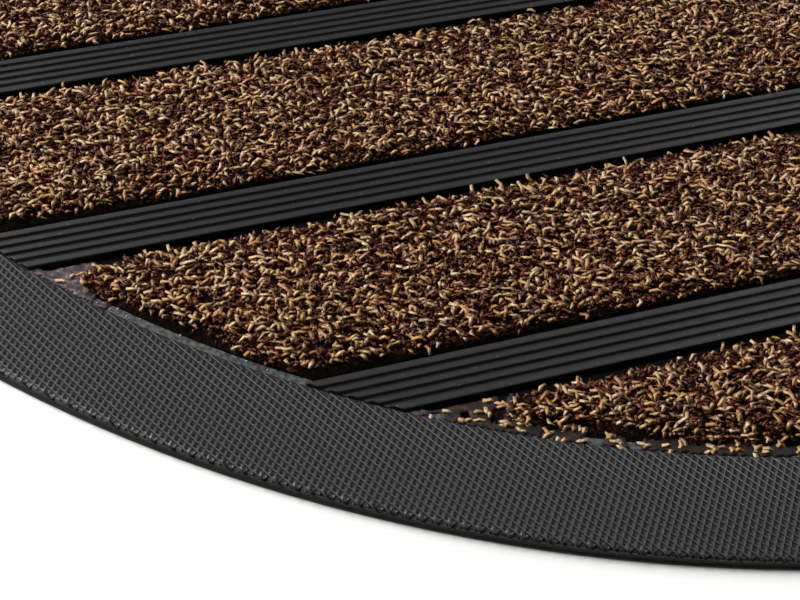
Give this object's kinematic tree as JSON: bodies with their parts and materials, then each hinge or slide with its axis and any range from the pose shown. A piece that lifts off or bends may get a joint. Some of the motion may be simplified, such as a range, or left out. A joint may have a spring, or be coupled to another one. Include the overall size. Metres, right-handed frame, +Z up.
{
  "type": "half round doormat",
  "caption": "Half round doormat: a moulded rubber base with a flat border and straight ribbed scraper bars, and strips of short curly pile between the bars.",
  "frame": {"origin": "on the floor, under the middle of the mat's bounding box", "axes": "+X along the straight edge and the bars, +Y towards the straight back edge with the curved edge at -Y, +Z up"},
  "size_m": [0.75, 0.44, 0.0059],
  "materials": {
    "rubber": "matt moulded black rubber with a fine embossed border",
    "pile": "short curly synthetic pile, dark brown with tan and a few pale fibres"
  },
  "bodies": {
    "root": {"rubber_base": "rubber", "pile_strip_1": "pile", "pile_strip_2": "pile", "pile_strip_3": "pile", "pile_strip_4": "pile", "pile_strip_5": "pile"}
  },
  "joints": []
}
